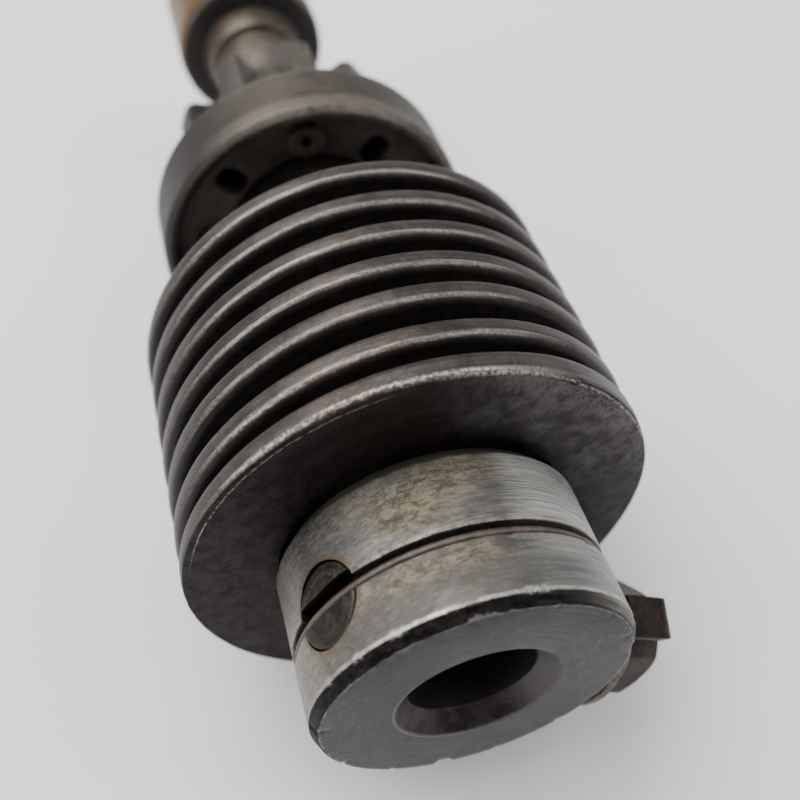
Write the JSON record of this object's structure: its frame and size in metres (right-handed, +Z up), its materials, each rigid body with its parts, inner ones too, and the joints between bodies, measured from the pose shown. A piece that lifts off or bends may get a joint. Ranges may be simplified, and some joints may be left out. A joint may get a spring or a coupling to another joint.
{
  "type": "inertia starter drive",
  "caption": "Inertia starter drive: clamped collar, heavy ground-end spring, screwed sleeve on a shaft, toothed pinion with a drum, and an end bush",
  "frame": {"origin": "on the shaft axis, at the shaft's free end face", "axes": "+Y along the shaft axis from the drive collar to the free end, +Z up as the object lies on its side, +X to the right seen from the collar end"},
  "size_m": [0.05, 0.1411, 0.05],
  "materials": {
    "collar_steel": "turned steel, worn, with brown rust stains",
    "fastener_steel": "brown-stained plain steel",
    "ring_wire": "rusty spring wire",
    "spring_steel": "dark oil-blackened spring steel, worn bright on the corners",
    "shaft_steel": "ground steel, grey-brown",
    "seat_steel": "dark plain steel",
    "drum_steel": "olive-grey worn steel",
    "plate_steel": "near-black oily steel",
    "washer_black": "black oily steel",
    "bush_brass": "dull yellow brass"
  },
  "bodies": {
    "shaft_assembly": {"drive_collar": "collar_steel", "lock_screw": "fastener_steel", "lock_ring": "ring_wire", "clamp_stud": "fastener_steel", "tab_washer": "fastener_steel", "clamp_nut": "fastener_steel", "drive_spring": "spring_steel", "drive_shaft": "shaft_steel", "end_washer": "washer_black"},
    "sleeve": {"screwed_sleeve": "shaft_steel", "spring_seat": "seat_steel"},
    "thrust": {"thrust_ring": "seat_steel"},
    "pinion_unit": {"drum": "drum_steel", "drum_plate": "plate_steel", "rivet_1": "plate_steel", "rivet_2": "plate_steel", "rivet_3": "plate_steel", "rivet_4": "plate_steel", "control_nut": "seat_steel", "pinion": "drum_steel"},
    "bush": {"brass_bush": "bush_brass"}
  },
  "joints": [
    {"name": "spring_compression", "type": "slide", "parent": "shaft_assembly", "child": "sleeve", "axis": [0, -1, 0], "range_m": [0, 0.006], "deforming": ["drive_spring"]},
    {"name": "pinion_travel", "type": "slide", "parent": "sleeve", "child": "thrust", "axis": [0, 1, 0], "range_m": [0, 0.015]},
    {"name": "pinion_turn", "type": "hinge", "parent": "thrust", "child": "pinion_unit", "pos_m": [0, -0.07, 0], "axis": [0, 1, 0], "range_deg": [0, 135]},
    {"name": "bush_turn", "type": "hinge", "parent": "shaft_assembly", "child": "bush", "pos_m": [0, -0.01, 0], "axis": [0, 1, 0], "continuous": true}
  ],
  "couplings": [
    {"joint": "pinion_turn", "follows": "pinion_travel", "rad_per_m": 157.08}
  ]
}
